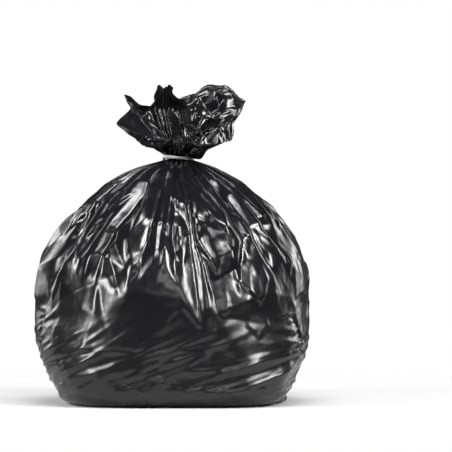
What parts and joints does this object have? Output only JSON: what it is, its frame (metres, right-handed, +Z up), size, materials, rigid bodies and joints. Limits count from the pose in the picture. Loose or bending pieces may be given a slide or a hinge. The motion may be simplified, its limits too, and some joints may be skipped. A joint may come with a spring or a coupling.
{
  "type": "full bin bag",
  "caption": "Full 50 litre refuse bag of thin black film, stuffed round on a flat base, gathered at the neck and tied with a white ribbon under a loose lobed crown.",
  "frame": {"origin": "on the floor, under the middle of the bag's flat base and of its bounding box", "axes": "+Z up through the neck, +X to the right seen from the front, -Y the front"},
  "size_m": [0.4298, 0.4, 0.4943],
  "materials": {
    "black_film": "thin black polyethylene film, glossy and creased",
    "white_ribbon": "natural white plastic ribbon, slightly translucent"
  },
  "bodies": {
    "root": {"bag": "black_film", "neck_tie": "white_ribbon"}
  },
  "joints": []
}
